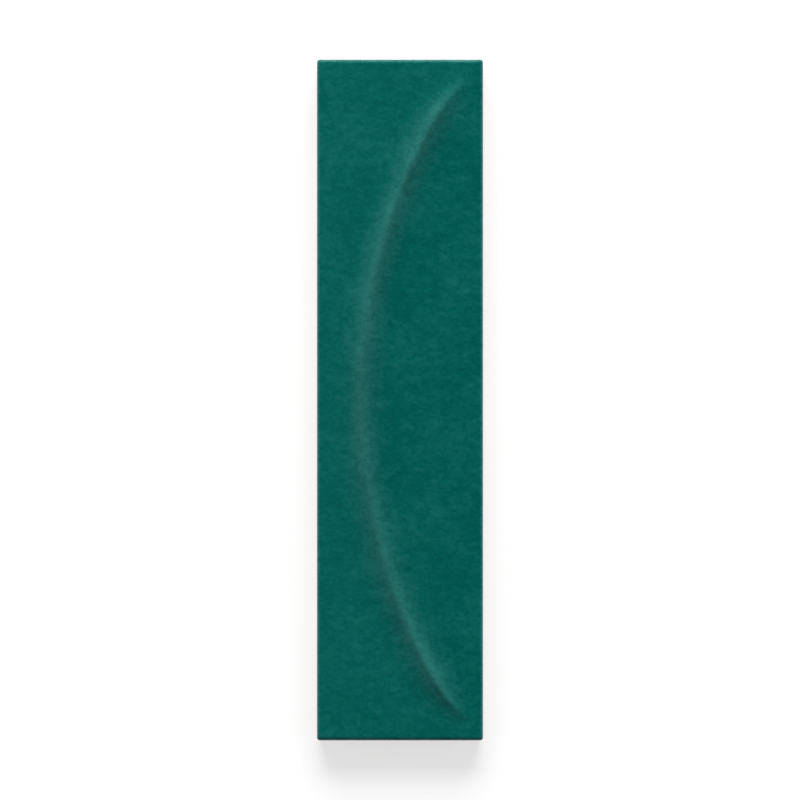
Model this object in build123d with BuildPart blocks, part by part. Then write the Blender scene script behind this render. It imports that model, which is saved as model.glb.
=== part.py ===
# Glazed stoneware wall tile with a raised crest that bows across its face.
#
# The tile lies on its ribbed back with the glazed face up. X runs across the tile, Y along it and
# Z up, and the origin is the middle of the back. The edge at +X is the joint edge: a second tile,
# turned half a turn, butts against it, and the two crests then close into a pointed oval.
# All sizes are in millimetres.

import math
import os

from build123d import *

# Pressed body
tile_width = 60.0
tile_length = 246.0
field_height = 8.6  # from the back up to the flat glazed field
corner_round = 1.0  # corners in plan
edge_round = 1.4  # cushion edge round the glazed face
draft_width = 0.7  # how far the sides draw in towards the back
draft_height = 2.6  # and over what height

# Crest: a ridge with hollow flanks on a circular arc in plan
crest_apex = 44.0  # from the joint edge to the crest, at mid-length
crest_radius = 208.0  # of the arc, seen from above
crest_height = 1.9  # above the field
crest_slope = 0.49  # rise over run of the flank where it meets the rounded top
crest_round = 1.2  # half the width of the rounded top
flank_width = 11.0  # from the crest line to the foot of either flank
tip_inset = 6.0  # from the tile's end to the crest's tip
fade_length = 23.5  # along the arc, over which the crest sinks into the field
tip_hook = 2.0  # how far the tip bends in from the arc, towards the joint edge
tip_spread = 0.5  # share of the flank's width that is left at the tip
foot_sink = 0.05  # the feet of the flanks start this far under the field
crest_bury = 2.0  # depth of the crest's root in the body
fade_steps = 4

# Back: shallow pressed cells between ribs, which key the adhesive
back_rim = 4.6
rib_width = 2.6
cell_pitch_x = 17.2
cell_pitch_y = 19.8
cell_depth = 0.7
cell_round = 2.0
cell_draft = 30.0  # degrees, of the cells' walls


arc_centre_x = tile_width / 2 - crest_apex + crest_radius
arc_axis = Axis((arc_centre_x, 0, 0), (0, 0, -1))
tip_angle = math.degrees(math.asin((tile_length / 2 - tip_inset) / crest_radius))
full_angle = tip_angle - math.degrees(fade_length / crest_radius)


def cushion_profile(span):
    """Section through the body, square below and rounded at both upper corners."""
    with BuildSketch() as profile:
        Rectangle(span, field_height, align=(Align.CENTER, Align.MIN))
        fillet(profile.vertices().group_by(Axis.Y)[-1], radius=edge_round)
    return profile.sketch


def crest_plane(angle, hook):
    """Plane square to the arc at this angle, with its y axis up and its origin at foot level."""
    c, s = math.cos(math.radians(angle)), math.sin(math.radians(angle))
    reach = crest_radius - hook
    on_line = (arc_centre_x - reach * c, reach * s, field_height - foot_sink)
    return Plane(origin=on_line, x_dir=(-c, s, 0), z_dir=(s, c, 0))


def crest_section(angle, height_share=1, width_share=1, hook=0):
    """Section of the crest: two hollow flanks, the rounded top between them and a buried root."""
    top = crest_height + foot_sink
    shoulder = top - crest_slope * crest_round / 2
    peak = top + crest_slope * crest_round / 2
    bend = crest_round + shoulder / crest_slope

    def at(across, up):
        return (across * width_share, up * height_share)

    with BuildSketch(crest_plane(angle, hook)) as section:
        with BuildLine():
            outer = Bezier(at(flank_width, 0), at(bend, 0), at(crest_round, shoulder))
            Bezier(outer @ 1, at(0, peak), at(-crest_round, shoulder))
            inner = Bezier(at(-crest_round, shoulder), at(-bend, 0), at(-flank_width, 0))
            root = ((inner @ 1).X, -crest_bury), ((outer @ 0).X, -crest_bury)
            Polyline(inner @ 1, *root, outer @ 0)
        make_face()
    return section.sketch


def fade_sections(side):
    """Sections of the crest's fade at one end, from where it holds full height out to its tip."""
    sections = []
    for step in range(fade_steps + 1):
        share = step / fade_steps
        swell = math.cos(math.pi / 2 * share)
        angle = full_angle + (tip_angle - full_angle) * share
        spread = tip_spread + (1 - tip_spread) * swell
        hook = tip_hook * (1 - swell)
        sections.append(crest_section(side * angle, swell, spread, hook))
    return sections


with BuildPart() as tile:
    # Body: its outline in plan, the cushion edge along the sides and then along the ends
    with BuildSketch():
        RectangleRounded(tile_width, tile_length, corner_round)
    extrude(amount=field_height)
    with BuildSketch(Plane.XZ):
        add(cushion_profile(tile_width))
    extrude(amount=tile_length, both=True, mode=Mode.INTERSECT)
    with BuildSketch(Plane.YZ):
        add(cushion_profile(tile_length))
    extrude(amount=tile_width, both=True, mode=Mode.INTERSECT)

    # Sides drawn in towards the back
    chamfer(tile.faces().sort_by(Axis.Z)[0].edges(), length=draft_height, length2=draft_width)

    # Crest across the glazed face: it turns about the arc's centre, then bends in and sinks away
    revolve(crest_section(-full_angle), axis=arc_axis, revolution_arc=2 * full_angle)
    loft(sections=fade_sections(1))
    loft(sections=fade_sections(-1))

    # Cells pressed into the back
    cells_x = max(1, round((tile_width - 2 * back_rim + rib_width) / cell_pitch_x))
    cells_y = max(1, round((tile_length - 2 * back_rim + rib_width) / cell_pitch_y))
    pitch_x = (tile_width - 2 * back_rim + rib_width) / cells_x
    pitch_y = (tile_length - 2 * back_rim + rib_width) / cells_y
    with BuildSketch():
        with GridLocations(pitch_x, pitch_y, cells_x, cells_y):
            RectangleRounded(pitch_x - rib_width, pitch_y - rib_width, cell_round)
    extrude(amount=cell_depth, taper=cell_draft, mode=Mode.SUBTRACT)

tile.part.label = "tile"

os.makedirs("parts", exist_ok=True)
export_step(tile.part, "parts/tile.step")
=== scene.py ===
"""Glazed stoneware tile: a satin teal face with a bowed crest, bare sides and a ribbed back.

Lengths are in metres and angles in radians. X runs across the tile, Y along it and Z up out of its
face, and the origin is the middle of its back.
"""

import logging
import math
from collections.abc import Callable
from dataclasses import dataclass, field
from enum import Enum

import bpy
import numpy as np
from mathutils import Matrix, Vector


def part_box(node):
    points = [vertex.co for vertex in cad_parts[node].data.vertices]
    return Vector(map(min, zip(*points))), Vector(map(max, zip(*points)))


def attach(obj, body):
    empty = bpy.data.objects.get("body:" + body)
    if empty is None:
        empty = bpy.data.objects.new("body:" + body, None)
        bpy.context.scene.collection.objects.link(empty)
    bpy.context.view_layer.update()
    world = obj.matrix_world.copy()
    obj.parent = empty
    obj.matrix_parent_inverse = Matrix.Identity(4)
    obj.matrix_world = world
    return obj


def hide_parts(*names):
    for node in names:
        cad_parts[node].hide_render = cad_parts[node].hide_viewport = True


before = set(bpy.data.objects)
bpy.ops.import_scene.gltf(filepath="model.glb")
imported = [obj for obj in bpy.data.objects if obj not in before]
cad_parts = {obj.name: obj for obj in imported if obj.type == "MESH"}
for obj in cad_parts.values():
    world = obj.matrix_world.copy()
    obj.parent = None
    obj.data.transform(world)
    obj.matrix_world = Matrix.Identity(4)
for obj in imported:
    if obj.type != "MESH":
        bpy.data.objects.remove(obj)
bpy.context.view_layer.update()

LOG = logging.getLogger("tile")
MM = 0.001
SNAP = 1e-6  # points nearer than this count as one place
NODE = "tile"
BODY = "root"

Colour = tuple[float, float, float, float]
Point = tuple[float, float, float]
Socket = bpy.types.NodeSocket
Feed = Socket | float | Colour | Point  # what a node's input can be given
EdgeTest = Callable[[np.ndarray, np.ndarray], np.ndarray]  # picks edges by their two end points

WHITE: Colour = (1.0, 1.0, 1.0, 1.0)
NOISE_MEAN = 0.5


class Skin(Enum):
    """Material slots of the tile's mesh."""

    GLAZED = 0
    BARE = 1


class Share(Enum):
    """Named values, from 0 to 1, that the tile's mesh carries for its glaze."""

    CREST = "crest_share"
    LENS = "lens_share"
    EDGE = "edge_share"


class Mixed(Enum):
    """What a Mix node mixes: its data type and the numbers of its A, B and result sockets."""

    VALUES = ("FLOAT", 2, 3, 0)
    COLOURS = ("RGBA", 6, 7, 2)


def deselect_all() -> None:
    """Go to object mode with nothing selected."""
    if bpy.context.object and bpy.context.mode != "OBJECT":
        bpy.ops.object.mode_set(mode="OBJECT")
    bpy.ops.object.select_all(action="DESELECT")


def make_active(piece: bpy.types.Object) -> None:
    """Select one object alone and make it the active one.

    Args:
        piece: The object.
    """
    deselect_all()
    piece.select_set(True)
    bpy.context.view_layer.objects.active = piece


def add_box(place: Point, size: Point) -> bpy.types.Object:
    """Add a box and apply its place and size to its mesh.

    Args:
        place: Middle of the box.
        size: Its sizes along x, y and z.

    Returns:
        The box, at the origin and selected alone.
    """
    deselect_all()
    bpy.ops.mesh.primitive_cube_add(size=1, location=place, scale=size)
    bpy.ops.object.transform_apply(location=True, rotation=True, scale=True)
    return bpy.context.object


def mesh_points(mesh: bpy.types.Mesh) -> np.ndarray:
    """Read a mesh's points.

    Args:
        mesh: The mesh to read.

    Returns:
        One row of x, y and z for each vertex.
    """
    points = np.empty(len(mesh.vertices) * 3)
    mesh.vertices.foreach_get("co", points)
    return points.reshape(-1, 3)


def upright(first: np.ndarray, second: np.ndarray) -> np.ndarray:
    """Say which edges rise or fall, from their first and second end points."""
    return np.abs(first[:, 2] - second[:, 2]) > SNAP


def at_height(height: float) -> EdgeTest:
    """Make a test for the edges that lie at one height."""
    return lambda first, second: np.maximum(abs(first[:, 2] - height), abs(second[:, 2] - height)) < SNAP


def select_edges(piece: bpy.types.Object, wanted: EdgeTest) -> None:
    """Select the edges that pass a test and leave the piece in edit mode.

    Args:
        piece: The active mesh object.
        wanted: Takes the edges' first and second end points and says which edges to take.
    """
    bpy.ops.object.mode_set(mode="EDIT")
    bpy.ops.mesh.select_mode(type="EDGE")
    bpy.ops.mesh.select_all(action="DESELECT")
    bpy.ops.object.mode_set(mode="OBJECT")
    mesh = piece.data
    ends = np.empty(len(mesh.edges) * 2, dtype=np.int32)
    mesh.edges.foreach_get("vertices", ends)
    ends = ends.reshape(-1, 2)
    points = mesh_points(mesh)
    chosen = wanted(points[ends[:, 0]], points[ends[:, 1]])
    mesh.edges.foreach_set("select", chosen)
    bpy.ops.object.mode_set(mode="EDIT")


def cut(piece: bpy.types.Object, place: Point, normal: Point) -> None:
    """Cut all faces of a piece along a plane and keep both sides.

    Args:
        piece: The mesh object.
        place: A point on the plane.
        normal: The plane's normal.
    """
    make_active(piece)
    bpy.ops.object.mode_set(mode="EDIT")
    bpy.ops.mesh.select_all(action="SELECT")
    bpy.ops.mesh.bisect(plane_co=place, plane_no=normal, threshold=SNAP)
    bpy.ops.object.mode_set(mode="OBJECT")


def apply_modifier(piece: bpy.types.Object, modifier: bpy.types.Modifier) -> None:
    """Apply one modifier of a piece to its mesh."""
    make_active(piece)
    bpy.ops.object.modifier_apply(modifier=modifier.name)


def displace(piece: bpy.types.Object, weights: np.ndarray, **settings: object) -> None:
    """Move a piece's points by a Displace modifier and apply it.

    Args:
        piece: The mesh object.
        weights: Share of the modifier's strength for each vertex.
        settings: Values set on the modifier.
    """
    group = piece.vertex_groups.new(name="lift")
    for index in np.flatnonzero(weights):
        group.add([int(index)], float(weights[index]), "REPLACE")
    lift = piece.modifiers.new("lift", "DISPLACE")
    lift.vertex_group = group.name
    for name, value in settings.items():
        setattr(lift, name, value)
    apply_modifier(piece, lift)
    piece.vertex_groups.clear()


class Nodes:
    """A node tree under construction, with short ways to add and join its nodes."""

    def __init__(self, tree: bpy.types.NodeTree) -> None:
        """Start on an emptied tree."""
        self.tree = tree
        tree.nodes.clear()

    def add(
        self, kind: str, inputs: dict[str | int, Feed] | None = None, **settings: object
    ) -> bpy.types.Node:
        """Add one node.

        Args:
            kind: The node's type name.
            inputs: Values or sockets for its inputs, by name or number.
            settings: Values set on the node itself.

        Returns:
            The new node.
        """
        node = self.tree.nodes.new(kind)
        for name, value in settings.items():
            setattr(node, name, value)
        for name, value in (inputs or {}).items():
            if isinstance(value, Socket):
                self.tree.links.new(value, node.inputs[name])
            else:
                node.inputs[name].default_value = value
        return node

    def place(self, group: bpy.types.NodeTree, inputs: dict[str | int, Feed]) -> bpy.types.Node:
        """Add a node group with values or sockets for its inputs."""
        return self.add("ShaderNodeGroup", inputs, node_tree=group)

    def where(self) -> Socket:
        """Read the piece's own coordinates."""
        return self.add("ShaderNodeTexCoord").outputs["Object"]

    def height(self, where: Socket) -> Socket:
        """Take the height out of coordinates or a direction."""
        return self.add("ShaderNodeSeparateXYZ", {"Vector": where}).outputs["Z"]

    def carried(self, share: Share) -> Socket:
        """Read one of the values that the mesh carries."""
        return self.add("ShaderNodeAttribute", attribute_name=share.value).outputs["Fac"]

    def math(self, operation: str, *values: Feed, clamp: bool = False) -> Socket:
        """Add a Math node and return its result."""
        node = self.add("ShaderNodeMath", dict(enumerate(values)), operation=operation, use_clamp=clamp)
        return node.outputs[0]

    def times_plus(self, value: Feed, factor: Feed, plus: Feed, clamp: bool = False) -> Socket:
        """Multiply a value, add another and return the result."""
        return self.math("MULTIPLY_ADD", value, factor, plus, clamp=clamp)

    def dim(self, colour: Socket, factor: Socket) -> Socket:
        """Multiply a colour by a value and return the result."""
        node = self.add("ShaderNodeVectorMath", {0: colour, "Scale": factor}, operation="SCALE")
        return node.outputs[0]

    def noise(self, where: Socket, scale: Feed, detail: float) -> Socket:
        """Add a noise that varies about 0 and return its value."""
        noise = self.add("ShaderNodeTexNoise", {"Vector": where, "Scale": scale, "Detail": detail})
        return self.math("SUBTRACT", noise.outputs["Fac"], NOISE_MEAN)

    def mix(self, kind: Mixed, share: Feed, first: Feed, second: Feed) -> Socket:
        """Mix two values or two colours.

        Args:
            kind: Whether they are values or colours.
            share: Share of the second.
            first: The result at a share of 0.
            second: The result at a share of 1.

        Returns:
            The mixed value or colour.
        """
        data_type, first_socket, second_socket, result_socket = kind.value
        inputs = {0: share, first_socket: first, second_socket: second}
        return self.add("ShaderNodeMix", inputs, data_type=data_type).outputs[result_socket]

    def spread(self, value: Feed, low: Feed, high: Feed, to_low: float, to_high: float) -> Socket:
        """Map a value smoothly from one range to another.

        Args:
            value: The value to map.
            low: Where the range starts.
            high: Where it ends.
            to_low: Result at the start and before it.
            to_high: Result at the end and past it.

        Returns:
            The mapped value.
        """
        inputs = {"Value": value, "From Min": low, "From Max": high, "To Min": to_low, "To Max": to_high}
        node = self.add("ShaderNodeMapRange", inputs, interpolation_type="SMOOTHSTEP")
        return node.outputs[0]


@dataclass(frozen=True)
class GrainLayer:
    """One size of unevenness in the soft grain, with its weights in tone and height."""

    size: float  # times the finish's own grain
    detail: float
    to_tone: float
    to_height: float


@dataclass
class Effects:
    """Node groups that more than one finish uses, each built once."""

    layers: tuple[GrainLayer, ...] = (
        GrainLayer(size=11.0, detail=2.0, to_tone=1.4, to_height=0.0),
        GrainLayer(size=2.4, detail=2.0, to_tone=1.5, to_height=1.6),
        GrainLayer(size=1.0, detail=3.0, to_tone=1.8, to_height=1.0),
    )
    mean_height: float = 0.5
    least_pit: float = 0.4  # share of the pits' radius that the smallest has
    clay_grain: float = 0.9 * MM
    clay_mean: float = 0.5  # share of the light clay at the grain's mean tone
    clay_contrast: float = 1.5
    clay_pit_spacing: float = 2.4 * MM
    clay_pit_radius: float = 0.45 * MM
    clay_pits_kept: float = 0.5
    clay_pit_shade: float = 0.45
    clay_roughness: float = 0.82
    clay_rough_spread: float = 0.2
    grain: bpy.types.NodeTree = field(init=False)
    pits: bpy.types.NodeTree = field(init=False)
    clay: bpy.types.NodeTree = field(init=False)

    def __post_init__(self) -> None:
        """Build the groups."""
        self.grain = self.make_grain()
        self.pits = self.make_pits()
        self.clay = self.make_clay()

    @staticmethod
    def group(name: str, inputs: dict[str, str], outputs: dict[str, str]) -> tuple[Nodes, bpy.types.Node]:
        """Start a shader node group.

        Args:
            name: The group's name.
            inputs: Socket kinds by input name.
            outputs: Socket kinds by output name.

        Returns:
            The group's nodes and its input node.
        """
        tree = bpy.data.node_groups.new(name, "ShaderNodeTree")
        for direction, sockets in (("INPUT", inputs), ("OUTPUT", outputs)):
            for label, kind in sockets.items():
                tree.interface.new_socket(label, in_out=direction, socket_type="NodeSocket" + kind)
        nodes = Nodes(tree)
        return nodes, nodes.add("NodeGroupInput")

    def make_grain(self) -> bpy.types.NodeTree:
        """Build the group for soft grain of several sizes.

        Returns:
            A group with a tone that varies about 0 and a height that varies about its mean.
        """
        nodes, given = self.group(
            "Soft grain",
            {"Where": "Vector", "Grain": "Float"},
            {"Tone": "Float", "Height": "Float"},
        )
        tone = 0.0
        height = self.mean_height
        for layer in self.layers:
            scale = nodes.math("DIVIDE", 1 / layer.size, given.outputs["Grain"])
            uneven = nodes.noise(given.outputs["Where"], scale, layer.detail)
            tone = nodes.times_plus(uneven, layer.to_tone, tone)
            height = nodes.times_plus(uneven, layer.to_height, height)
        nodes.add("NodeGroupOutput", {"Tone": tone, "Height": height})
        return nodes.tree

    def make_pits(self) -> bpy.types.NodeTree:
        """Build the group for scattered small pits.

        Returns:
            A group with a mask that is 1 in the middle of a pit.
        """
        nodes, given = self.group(
            "Scattered pits",
            {"Where": "Vector", "Spacing": "Float", "Radius": "Float", "Kept": "Float"},
            {"Mask": "Float"},
        )
        spacing = given.outputs["Spacing"]
        scale = nodes.math("DIVIDE", 1.0, spacing)
        spots = nodes.add("ShaderNodeTexVoronoi", {"Vector": given.outputs["Where"], "Scale": scale})
        away = nodes.math("MULTIPLY", spots.outputs["Distance"], spacing)
        chance = nodes.add("ShaderNodeSeparateColor", {"Color": spots.outputs["Color"]})
        kept = nodes.math("LESS_THAN", chance.outputs["Red"], given.outputs["Kept"])
        size = nodes.math("ADD", chance.outputs["Green"], self.least_pit)
        radius = nodes.math("MULTIPLY", given.outputs["Radius"], size)
        near = nodes.spread(away, 0.0, radius, 1.0, 0.0)
        nodes.add("NodeGroupOutput", {"Mask": nodes.math("MULTIPLY", near, kept)})
        return nodes.tree

    def make_clay(self) -> bpy.types.NodeTree:
        """Build the group for the bare fired body.

        Returns:
            A group with the body's colour, roughness and height.
        """
        nodes, given = self.group(
            "Fired stoneware",
            {"Where": "Vector", "Light": "Color", "Dark": "Color"},
            {"Color": "Color", "Roughness": "Float", "Height": "Float"},
        )
        where = given.outputs["Where"]
        grain = nodes.place(self.grain, {"Where": where, "Grain": self.clay_grain})
        pits = nodes.place(self.pits, {
            "Where": where,
            "Spacing": self.clay_pit_spacing,
            "Radius": self.clay_pit_radius,
            "Kept": self.clay_pits_kept,
        })
        tone = grain.outputs["Tone"]
        mask = pits.outputs["Mask"]
        share = nodes.times_plus(tone, self.clay_contrast, self.clay_mean, clamp=True)
        colour = nodes.mix(Mixed.COLOURS, share, given.outputs["Dark"], given.outputs["Light"])
        nodes.add("NodeGroupOutput", {
            "Color": nodes.dim(colour, nodes.times_plus(mask, -self.clay_pit_shade, 1.0)),
            "Roughness": nodes.times_plus(tone, self.clay_rough_spread, self.clay_roughness),
            "Height": nodes.math("SUBTRACT", grain.outputs["Height"], mask),
        })
        return nodes.tree


@dataclass(frozen=True)
class BareStoneware:
    """Finish of the unglazed back."""

    effects: Effects
    light: Colour = (0.36, 0.237, 0.184, 1.0)
    dark: Colour = (0.255, 0.155, 0.116, 1.0)
    relief: float = 0.12 * MM

    def body(self, nodes: Nodes, where: Socket) -> bpy.types.Node:
        """Place the body's group with this finish's colours."""
        return nodes.place(self.effects.clay, {"Where": where, "Light": self.light, "Dark": self.dark})

    def material(self) -> bpy.types.Material:
        """Build the material.

        Returns:
            The material of the bare back.
        """
        material = bpy.data.materials.new("bare_stoneware")
        material.use_nodes = True
        nodes = Nodes(material.node_tree)
        clay = self.body(nodes, nodes.where())
        bump = nodes.add("ShaderNodeBump", {"Height": clay.outputs["Height"], "Distance": self.relief})
        shader = nodes.add("ShaderNodeBsdfPrincipled", {
            "Base Color": clay.outputs["Color"],
            "Roughness": clay.outputs["Roughness"],
            "Normal": bump.outputs[0],
        })
        nodes.add("ShaderNodeOutputMaterial", {"Surface": shader.outputs[0]})
        return material


@dataclass(frozen=True)
class SatinGlaze:
    """Finish of the glazed face and edges, with the glaze's wavy end on the sides."""

    effects: Effects
    clay: BareStoneware
    field_height: float  # of the glazed face over the back
    field_colour: Colour = (0.0019, 0.1080, 0.0925, 1.0)
    lens_colour: Colour = (0.0009, 0.1002, 0.0855, 1.0)  # between the crest and the joint edge
    break_colour: Colour = (0.0172, 0.1300, 0.1145, 1.0)  # where the glaze is thin
    grain: float = 1.3 * MM
    streak: float = 0.88  # grain along the tile as a share of the grain across it
    relief: float = 0.095 * MM
    tone_depth: float = 0.22  # how much the grain shades the colour
    break_spread: float = 0.3  # and how much it varies the thinness
    crest_power: float = 0.9
    rim_share: float = 0.6  # how thin the glaze is on the cushion edge
    hem_share: float = 0.8  # and where it ends
    hem_width: float = 1.3 * MM
    end_drop: float = 2.6 * MM  # from the face down to where the glaze ends
    end_soft: float = 0.35 * MM
    wave_size: float = 14.0 * MM
    wave_depth: float = 2.4 * MM
    wave_detail: float = 3.0
    pit_spacing: float = 7.0 * MM
    pit_radius: float = 0.55 * MM
    pits_kept: float = 0.35
    pit_shade: float = 0.35
    pit_depth: float = 0.6  # in grain heights
    roughness: float = 0.28
    rough_spread: float = 0.15
    specular: float = 0.36

    @property
    def end_height(self) -> float:
        """Height over the back where the glaze ends."""
        return self.field_height - self.end_drop

    def wavy_height(self, nodes: Nodes, where: Socket) -> Socket:
        """Find the height over the back, with the waves of the glaze's end added."""
        wave = nodes.noise(where, 1 / self.wave_size, self.wave_detail)
        return nodes.times_plus(wave, self.wave_depth, nodes.height(where))

    def thinness(self, nodes: Nodes, wavy: Socket, tone: Socket) -> Socket:
        """Find how thin the glaze is: on the crest, on the cushion edge and where it ends.

        Args:
            nodes: The material's nodes.
            wavy: Wavy height over the back.
            tone: Tone of the grain.

        Returns:
            A share from 0 to 1.
        """
        crest = nodes.math("POWER", nodes.carried(Share.CREST), self.crest_power)
        rim = nodes.math("MULTIPLY", nodes.carried(Share.EDGE), self.rim_share)
        hem = nodes.spread(wavy, self.end_height, self.end_height + self.hem_width, self.hem_share, 0.0)
        thin = nodes.math("MAXIMUM", hem, nodes.math("MAXIMUM", crest, rim))
        return nodes.times_plus(tone, self.break_spread, thin, clamp=True)

    def colour(self, nodes: Nodes, thinness: Socket, tone: Socket, pits: Socket) -> Socket:
        """Mix the glaze's colour.

        Args:
            nodes: The material's nodes.
            thinness: How thin the glaze is.
            tone: Tone of the grain.
            pits: Mask of the pits.

        Returns:
            The colour over the whole surface.
        """
        colour = nodes.mix(Mixed.COLOURS, nodes.carried(Share.LENS), self.field_colour, self.lens_colour)
        colour = nodes.mix(Mixed.COLOURS, thinness, colour, self.break_colour)
        colour = nodes.dim(colour, nodes.times_plus(tone, self.tone_depth, 1.0))
        return nodes.dim(colour, nodes.times_plus(pits, -self.pit_shade, 1.0))

    def material(self) -> bpy.types.Material:
        """Build the material, with the bare body below the glaze's end.

        Returns:
            The material of face, edges and sides.
        """
        material = bpy.data.materials.new("satin_teal_glaze")
        material.use_nodes = True
        nodes = Nodes(material.node_tree)
        where = nodes.where()
        drawn = nodes.add("ShaderNodeMapping", {"Vector": where, "Scale": (self.streak, 1.0, 1.0)})
        grain = nodes.place(self.effects.grain, {"Where": drawn.outputs[0], "Grain": self.grain})
        pits = nodes.place(self.effects.pits, {
            "Where": where,
            "Spacing": self.pit_spacing,
            "Radius": self.pit_radius,
            "Kept": self.pits_kept,
        })
        tone = grain.outputs["Tone"]
        mask = pits.outputs["Mask"]
        wavy = self.wavy_height(nodes, where)
        colour = self.colour(nodes, self.thinness(nodes, wavy, tone), tone, mask)
        rough = nodes.times_plus(tone, self.rough_spread, self.roughness)
        height = nodes.times_plus(mask, -self.pit_depth, grain.outputs["Height"])

        clay = self.clay.body(nodes, where)
        bare_below = self.end_height - self.end_soft
        glazed_above = self.end_height + self.end_soft
        glazed = nodes.spread(wavy, bare_below, glazed_above, 0.0, 1.0)
        bump = nodes.add("ShaderNodeBump", {
            "Height": nodes.mix(Mixed.VALUES, glazed, clay.outputs["Height"], height),
            "Distance": self.relief,
        })
        shader = nodes.add("ShaderNodeBsdfPrincipled", {
            "Base Color": nodes.mix(Mixed.COLOURS, glazed, clay.outputs["Color"], colour),
            "Roughness": nodes.mix(Mixed.VALUES, glazed, clay.outputs["Roughness"], rough),
            "Specular IOR Level": self.specular,
            "Normal": bump.outputs[0],
        })
        nodes.add("ShaderNodeOutputMaterial", {"Surface": shader.outputs[0]})
        return material


@dataclass(frozen=True)
class PaleFloor:
    """Finish of the floor, which turns plain white away from the tile."""

    radius: float
    albedo: float = 0.45
    lift: float = 0.62  # light of its own that the camera and the glaze see
    white_from: float = 0.25  # share of the radius where it starts to turn white
    white_to: float = 0.6  # and where it is white

    def material(self) -> bpy.types.Material:
        """Build the material.

        Returns:
            The floor's material.
        """
        material = bpy.data.materials.new("pale_floor")
        material.use_nodes = True
        nodes = Nodes(material.node_tree)
        away = nodes.add("ShaderNodeVectorMath", {0: nodes.where()}, operation="LENGTH").outputs["Value"]
        far = nodes.spread(away, self.white_from * self.radius, self.white_to * self.radius, 0.0, 1.0)
        path = nodes.add("ShaderNodeLightPath")
        seen = nodes.math("MAXIMUM", path.outputs["Is Camera Ray"], path.outputs["Is Glossy Ray"])
        matt = nodes.add("ShaderNodeBsdfDiffuse", {"Color": (self.albedo, self.albedo, self.albedo, 1.0)})
        lift = nodes.add("ShaderNodeEmission", {
            "Color": WHITE,
            "Strength": nodes.math("MULTIPLY", seen, self.lift),
        })
        lit = nodes.add("ShaderNodeAddShader", {0: matt.outputs[0], 1: lift.outputs[0]})
        white = nodes.add("ShaderNodeEmission", {"Color": WHITE, "Strength": 1.0})
        shown = nodes.math("MULTIPLY", far, seen)
        both = nodes.add("ShaderNodeMixShader", {0: shown, 1: lit.outputs[0], 2: white.outputs[0]})
        nodes.add("ShaderNodeOutputMaterial", {"Surface": both.outputs[0]})
        return material


@dataclass
class Crest:
    """The raised crest: hollow flanks and a rounded top on a circular arc in plan."""

    tile_width: float
    tile_length: float
    height: float = 1.9 * MM
    apex_inset: float = 44.0 * MM  # from the joint edge at +X to the crest, at mid-length
    arc_radius: float = 208.0 * MM
    flank_width: float = 11.0 * MM
    top_slope: float = 0.49  # of the flank where it meets the rounded top
    top_half_width: float = 1.2 * MM
    tip_inset: float = 6.0 * MM  # from the tile's end to the crest's tip
    fade_length: float = 23.5 * MM  # along the arc, over which the crest sinks into the field
    tip_hook: float = 2.0 * MM  # how far the tips bend in from the arc
    tip_spread: float = 0.5  # share of the flank's width that is left at the tips
    profile_steps: int = 200

    @property
    def arc_centre_x(self) -> float:
        """Place of the arc's centre on the X axis."""
        return self.tile_width / 2 - self.apex_inset + self.arc_radius

    def profile(self) -> tuple[np.ndarray, np.ndarray]:
        """Draw half of the section, from the crest line to the foot of the flank.

        Returns:
            Distances from the crest line and the share of the full height at each.
        """
        done = np.linspace(0, 1, self.profile_steps)
        left = 1 - done
        top_drop = self.top_slope * self.top_half_width / 2
        shoulder = self.height - top_drop
        bend = self.top_half_width + shoulder / self.top_slope
        top_out = self.top_half_width * done
        top_up = self.height - top_drop * done**2
        flank_out = left**2 * self.top_half_width + 2 * done * left * bend + done**2 * self.flank_width
        flank_up = left**2 * shoulder
        out = np.concatenate([top_out, flank_out[1:]])
        up = np.concatenate([top_up, flank_up[1:]])
        return out, up / self.height

    def swell(self, points: np.ndarray) -> np.ndarray:
        """Find how far the crest has risen along its line.

        Args:
            points: Rows of x, y and z.

        Returns:
            Shares of the full height, 1 over most of the line and 0 past its tips.
        """
        tip_angle = math.asin((self.tile_length / 2 - self.tip_inset) / self.arc_radius)
        angle = np.arctan2(np.abs(points[:, 1]), self.arc_centre_x - points[:, 0])
        to_tip = (tip_angle - angle) * self.arc_radius / self.fade_length
        return np.sin(np.pi / 2 * np.clip(to_tip, 0, 1))

    def from_line(self, points: np.ndarray) -> np.ndarray:
        """Measure how far each point lies outwards from the crest line.

        Args:
            points: Rows of x, y and z.

        Returns:
            Distances, negative on the joint's side.
        """
        from_arc = np.hypot(points[:, 0] - self.arc_centre_x, points[:, 1]) - self.arc_radius
        return from_arc + self.tip_hook * (1 - self.swell(points))

    def share(self, points: np.ndarray) -> np.ndarray:
        """Find the crest's height at each point.

        Args:
            points: Rows of x, y and z.

        Returns:
            Shares of the full height, from 0 on the flat field to 1 on the crest line.
        """
        swell = self.swell(points)
        width = self.tip_spread + (1 - self.tip_spread) * swell
        out, up = self.profile()
        return np.interp(np.abs(self.from_line(points)) / width, out, up) * swell


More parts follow.
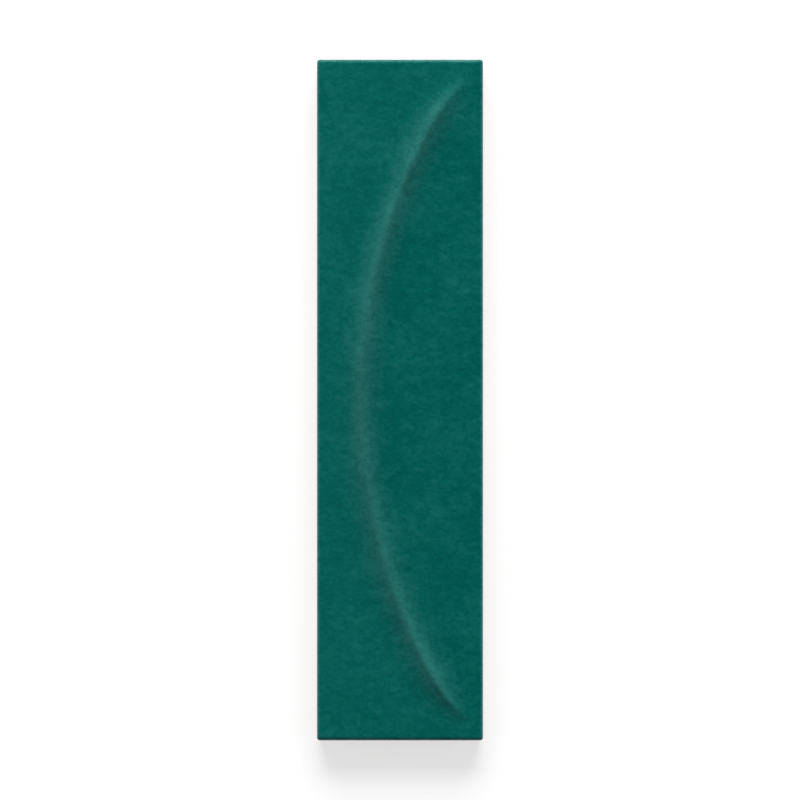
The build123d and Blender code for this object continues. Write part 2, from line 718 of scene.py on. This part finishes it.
@dataclass
class BackCells:
    """The shallow cells pressed into the back, with ribs between them."""

    tile_width: float
    tile_length: float
    rim: float = 4.6 * MM
    rib_width: float = 2.6 * MM
    counts: tuple[int, int] = (3, 12)  # across the tile and along it
    depth: float = 0.7 * MM
    corner_round: float = 2.0 * MM
    corner_segments: int = 4
    draft: float = math.radians(30)

    @property
    def pitches(self) -> tuple[float, float]:
        """Distances from cell to cell, across the tile and along it."""
        spans = [size - 2 * self.rim + self.rib_width for size in (self.tile_width, self.tile_length)]
        return spans[0] / self.counts[0], spans[1] / self.counts[1]

    def block(self, centre: Point) -> bpy.types.Object:
        """Model the tapered block of one cell, with half of it below the back.

        Args:
            centre: Middle of the cell, at the level of the back.

        Returns:
            The block.
        """
        width, length = (pitch - self.rib_width for pitch in self.pitches)
        block = add_box(centre, (width, length, 2 * self.depth))
        select_edges(block, upright)
        bpy.ops.mesh.bevel(offset=self.corner_round, segments=self.corner_segments, affect="EDGES")
        lean = 2 * self.depth * math.tan(self.draft)
        for up in (-1, 1):
            select_edges(block, at_height(up * self.depth))
            scale = (1 - up * lean / width, 1 - up * lean / length, 1)
            bpy.ops.transform.resize(value=scale, center_override=centre)
        bpy.ops.object.mode_set(mode="OBJECT")
        return block

    def cutter(self) -> bpy.types.Object:
        """Repeat one cell's block over the whole back.

        Returns:
            One mesh object that fills every cell.
        """
        pitch_x, pitch_y = self.pitches
        across, along = self.counts
        block = self.block((-pitch_x * (across - 1) / 2, -pitch_y * (along - 1) / 2, 0))
        for count, step in ((across, (pitch_x, 0, 0)), (along, (0, pitch_y, 0))):
            row = block.modifiers.new("row", "ARRAY")
            row.count = count
            row.use_relative_offset = False
            row.use_constant_offset = True
            row.constant_offset_displace = step
            apply_modifier(block, row)
        return block

    def press(self, piece: bpy.types.Object) -> None:
        """Cut the cells out of the back.

        Args:
            piece: The body.
        """
        cutter = self.cutter()
        cells = piece.modifiers.new("cells", "BOOLEAN")
        cells.operation = "DIFFERENCE"
        cells.object = cutter
        cells.solver = "EXACT"
        apply_modifier(piece, cells)
        cutter_mesh = cutter.data
        bpy.data.objects.remove(cutter)
        bpy.data.meshes.remove(cutter_mesh)


@dataclass
class Tile:
    """The fired tile: body, cushion edge, crest, drawn-in sides and a back with pressed cells."""

    low: Vector
    high: Vector
    corner_round: float = 1.0 * MM  # in plan
    edge_round: float = 1.4 * MM  # of the cushion edge round the face
    edge_segments: int = 8
    draft_width: float = 0.7 * MM  # how far the sides draw in towards the back
    draft_height: float = 2.6 * MM  # and over what height
    grid_step: float = 0.6 * MM
    side_step: float = 0.8 * MM
    most_cuts: int = 98  # of one edge at a time
    least_edge: float = 7.0 * MM  # shorter edges stay whole
    ripple_depth: float = 0.10 * MM
    ripple_size: float = 16.0 * MM
    ripple_layers: int = 2
    lens_blur: float = 4.0 * MM
    wear_tilts: tuple[float, ...] = (0.0, 0.25, 0.6, 1.0)  # over the cushion edge, from level to upright
    wear_shares: tuple[float, ...] = (0.0, 0.5, 1.0, 0.35)  # how thin the glaze is at those tilts
    smooth_angle: float = math.radians(35)
    crest: Crest = field(init=False)
    cells: BackCells = field(init=False)

    def __post_init__(self) -> None:
        """Take the crest's and the cells' places from the tile's size."""
        self.crest = Crest(self.width, self.length)
        self.cells = BackCells(self.width, self.length)

    @property
    def width(self) -> float:
        """Size across the tile."""
        return self.high.x - self.low.x

    @property
    def length(self) -> float:
        """Size along the tile."""
        return self.high.y - self.low.y

    @property
    def field_height(self) -> float:
        """Height of the flat field over the back."""
        return self.high.z - self.low.z - self.crest.height

    @property
    def round_inset(self) -> float:
        """How far in from the outline all rounding ends."""
        return max(self.corner_round, self.edge_round)

    def build(self) -> bpy.types.Object:
        """Model the tile.

        Returns:
            The finished mesh object, at the origin.
        """
        piece = add_box((0, 0, self.field_height / 2), (self.width, self.length, self.field_height))
        piece.name = "glazed_tile"
        self.round_edges(piece)
        self.score(piece)
        self.draw_in_sides(piece)
        self.cells.press(piece)
        self.divide(piece)
        self.store_shares(piece)
        self.raise_crest(piece)
        self.ripple_glaze(piece)
        make_active(piece)
        bpy.ops.object.shade_smooth_by_angle(angle=self.smooth_angle)
        return piece

    def dress(self, piece: bpy.types.Object) -> None:
        """Glaze the face and sides and leave the back bare.

        Args:
            piece: The finished mesh object.
        """
        effects = Effects()
        clay = BareStoneware(effects)
        glaze = SatinGlaze(effects, clay, self.field_height)
        finishes = {Skin.GLAZED: glaze, Skin.BARE: clay}
        for skin in Skin:
            piece.data.materials.append(finishes[skin].material())
        skins = np.where(self.back_faces(piece.data), Skin.BARE.value, Skin.GLAZED.value)
        piece.data.polygons.foreach_set("material_index", skins.astype(np.int32))

    def round_edges(self, piece: bpy.types.Object) -> None:
        """Round the upright corners and, more softly, the edges of the face.

        Args:
            piece: The square body.
        """
        face = at_height(self.field_height)
        for wanted, radius in ((upright, self.corner_round), (face, self.edge_round)):
            select_edges(piece, wanted)
            bpy.ops.transform.edge_bevelweight(value=radius / self.round_inset)
            bpy.ops.object.mode_set(mode="OBJECT")
        rounding = piece.modifiers.new("rounding", "BEVEL")
        rounding.limit_method = "WEIGHT"
        rounding.width = self.round_inset
        rounding.segments = self.edge_segments
        apply_modifier(piece, rounding)
        weights = piece.data.attributes["bevel_weight_edge"]
        piece.data.attributes.remove(weights)

    def score(self, piece: bpy.types.Object) -> None:
        """Cut lines round the body where its rounding ends, and in level rows up its sides.

        Args:
            piece: The rounded body.
        """
        straight_x = self.width / 2 - self.round_inset
        straight_y = self.length / 2 - self.round_inset
        for sign in (-1, 1):
            cut(piece, (sign * straight_x, 0, 0), (1, 0, 0))
            cut(piece, (0, sign * straight_y, 0), (0, 1, 0))
        rise = self.field_height - self.edge_round - self.draft_height
        rows = round(rise / self.side_step)
        for row in range(rows):
            cut(piece, (0, 0, self.draft_height + rise * row / rows), (0, 0, 1))

    def draw_in_sides(self, piece: bpy.types.Object) -> None:
        """Draw the sides in towards the back.

        Args:
            piece: The scored body.
        """
        select_edges(piece, at_height(0))
        taper = (1 - 2 * self.draft_width / self.width, 1 - 2 * self.draft_width / self.length, 1)
        bpy.ops.transform.resize(value=taper, center_override=(0, 0, 0))
        bpy.ops.object.mode_set(mode="OBJECT")

    def outer_edges(self, axis: int) -> EdgeTest:
        """Make a test for the long edges along one axis that lie on the face or on a side.

        Args:
            axis: 0 for edges across the tile, 1 for edges along it.

        Returns:
            The test.
        """
        other = 1 - axis
        side = (self.width, self.length)[other] / 2 - self.draft_width - SNAP
        top = self.field_height - self.edge_round - SNAP

        def wanted(first: np.ndarray, second: np.ndarray) -> np.ndarray:
            """Say which edges are long, straight along the axis, level and outside.

            Args:
                first: The edges' first end points.
                second: Their second end points.

            Returns:
                One truth value for each edge.
            """
            long = np.abs(first[:, axis] - second[:, axis]) > self.least_edge
            straight = np.abs(first[:, other] - second[:, other]) < SNAP
            level = np.abs(first[:, 2] - second[:, 2]) < SNAP
            outside = (np.abs(first[:, other]) > side) | (first[:, 2] > top)
            return long & straight & level & outside

        return wanted

    def divide(self, piece: bpy.types.Object) -> None:
        """Divide face, edges and sides into a fine even grid, and leave the back as it is.

        Args:
            piece: The body with its cells.
        """
        make_active(piece)
        for axis, size in enumerate((self.width, self.length)):
            # A long stretch is first parted into bays that one pass can divide
            straight = size - 2 * self.round_inset
            bays = math.ceil(straight / (self.most_cuts * self.grid_step))
            steps = round(straight / bays / self.grid_step)
            for parts in (bays, steps):
                if parts > 1:
                    select_edges(piece, self.outer_edges(axis))
                    bpy.ops.mesh.subdivide(number_cuts=parts - 1)
                    bpy.ops.object.mode_set(mode="OBJECT")

    def store_shares(self, piece: bpy.types.Object) -> None:
        """Store on the mesh how near each point is to the crest, the lens and the edge.

        Args:
            piece: The divided body, still flat.
        """
        points = mesh_points(piece.data)
        half_blur = self.lens_blur / 2
        inside = np.interp(self.crest.from_line(points), (-half_blur, half_blur), (1, 0))
        drop = np.clip((self.field_height - points[:, 2]) / self.edge_round, 0, 1)
        tilt = np.arccos(1 - drop) / (math.pi / 2)
        on_face = drop < 1
        shares = {
            Share.CREST: self.crest.share(points) * on_face,
            Share.LENS: inside * on_face,
            Share.EDGE: np.interp(tilt, self.wear_tilts, self.wear_shares),
        }
        for share, values in shares.items():
            layer = piece.data.attributes.new(share.value, "FLOAT", "POINT")
            layer.data.foreach_set("value", values.astype(np.float32))

    def raise_crest(self, piece: bpy.types.Object) -> None:
        """Raise the crest out of the flat field.

        Args:
            piece: The divided body.
        """
        points = mesh_points(piece.data)
        on_face = points[:, 2] > self.field_height - SNAP
        share = np.where(on_face, self.crest.share(points), 0)
        displace(piece, share, direction="Z", strength=self.crest.height, mid_level=0)

    def ripple_glaze(self, piece: bpy.types.Object) -> None:
        """Give the face the slight waviness of a fired glaze.

        Args:
            piece: The body with its crest.
        """
        ripple = bpy.data.textures.new("glaze_ripple", "CLOUDS")
        ripple.noise_scale = self.ripple_size
        ripple.noise_depth = self.ripple_layers
        points = mesh_points(piece.data)
        edge_foot = self.field_height - self.edge_round
        weights = np.clip((points[:, 2] - edge_foot) / self.edge_round, 0, 1)
        displace(piece, weights, texture=ripple, texture_coords="LOCAL", strength=self.ripple_depth)

    def back_faces(self, mesh: bpy.types.Mesh) -> np.ndarray:
        """Find the faces of the back and its cells.

        Args:
            mesh: The tile's mesh.

        Returns:
            One truth value for each face.
        """
        centres = np.empty(len(mesh.polygons) * 3)
        mesh.polygons.foreach_get("center", centres)
        centres = np.abs(centres.reshape(-1, 3))
        inside_x = centres[:, 0] < self.width / 2 - self.draft_width
        inside_y = centres[:, 1] < self.length / 2 - self.draft_width
        return inside_x & inside_y & (centres[:, 2] < self.cells.depth + SNAP)


@dataclass(frozen=True)
class Softbox:
    """A soft light that hangs near the tile and points at it."""

    name: str
    place: Point  # from the tile's centre
    size: tuple[float, float]
    power: float  # in watts
    mirrored: bool = False  # whether the glaze mirrors it

    def hang(self, centre: Vector) -> None:
        """Hang the light.

        Args:
            centre: Middle of the tile.
        """
        lamp = bpy.data.lights.new(self.name, "AREA")
        lamp.shape = "RECTANGLE"
        lamp.size, lamp.size_y = self.size
        lamp.energy = self.power
        hung = bpy.data.objects.new(self.name, lamp)
        bpy.context.scene.collection.objects.link(hung)
        place = Vector(self.place)
        hung.location = centre + place
        hung.rotation_euler = (-place).to_track_quat("-Z", "Y").to_euler()
        hung.visible_camera = False
        hung.visible_glossy = self.mirrored


@dataclass
class Studio:
    """Floor, soft light and a camera that looks straight down on the tile."""

    centre: Vector
    tile_length: float
    tile_share: float = 0.85  # of the picture's height
    lens: float = 200.0  # in millimetres, as is the sensor
    sensor: float = 36.0
    view_end: float = 10.0
    floor_radius: float = 0.9
    floor_corners: int = 96
    wall_light: float = 0.48
    wall_top: tuple[float, float] = (0.1, 0.45)  # how steeply up the walls start to fade and end
    lights: tuple[Softbox, ...] = (
        Softbox(name="key", place=(0.0, 2.8, 1.15), size=(3.2, 1.8), power=155.0),
        Softbox(name="sheen", place=(0.0, 2.8, 1.15), size=(3.2, 1.0), power=67.0, mirrored=True),
        Softbox(name="fill_left", place=(-1.93, 0.0, 0.52), size=(1.2, 0.6), power=17.5),
        Softbox(name="fill_right", place=(1.93, 0.0, 0.52), size=(1.2, 0.6), power=17.5),
        Softbox(name="fill_front", place=(0.0, -1.93, 0.52), size=(1.2, 0.6), power=3.5),
    )

    def set_up(self) -> None:
        """Make all of the studio."""
        bpy.context.scene.view_settings.view_transform = "Standard"
        self.floor()
        self.world()
        for light in self.lights:
            light.hang(self.centre)
        self.camera()

    def floor(self) -> None:
        """Lay the floor under the tile."""
        deselect_all()
        radius = self.floor_radius
        bpy.ops.mesh.primitive_circle_add(vertices=self.floor_corners, radius=radius, fill_type="NGON")
        floor = bpy.context.object
        floor.name = "floor"
        floor.data.materials.append(PaleFloor(radius).material())

    def world(self) -> None:
        """Make a room with white walls and a dark ceiling, seen by the camera as plain white."""
        world = bpy.data.worlds.new("studio")
        bpy.context.scene.world = world
        world.use_nodes = True
        nodes = Nodes(world.node_tree)
        direction = nodes.add("ShaderNodeTexCoord").outputs["Generated"]
        wall = nodes.spread(nodes.height(direction), *self.wall_top, self.wall_light, 0.0)
        path = nodes.add("ShaderNodeLightPath")
        strength = nodes.mix(Mixed.VALUES, path.outputs["Is Camera Ray"], wall, 1.0)
        room = nodes.add("ShaderNodeBackground", {"Color": WHITE, "Strength": strength})
        nodes.add("ShaderNodeOutputWorld", {"Surface": room.outputs[0]})

    def camera(self) -> None:
        """Set the camera over the tile, with the tile's length up the picture."""
        data = bpy.data.cameras.new("camera")
        data.lens = self.lens
        data.sensor_width = self.sensor
        data.clip_end = self.view_end
        camera = bpy.data.objects.new("camera", data)
        view = self.tile_length / self.tile_share
        camera.location = self.centre + Vector((0, 0, view * self.lens / self.sensor))
        bpy.context.scene.collection.objects.link(camera)
        bpy.context.scene.camera = camera


def main() -> None:
    """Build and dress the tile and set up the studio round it."""
    logging.basicConfig(level=logging.INFO, format="%(name)s: %(message)s")
    low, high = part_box(NODE)
    tile = Tile(low, high)
    piece = tile.build()
    tile.dress(piece)
    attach(piece, BODY)
    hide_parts(NODE)
    LOG.info("%s: %d vertices, %d faces", piece.name, len(piece.data.vertices), len(piece.data.polygons))

    Studio((low + high) / 2, tile.length).set_up()


if __name__ == "__main__":
    main()
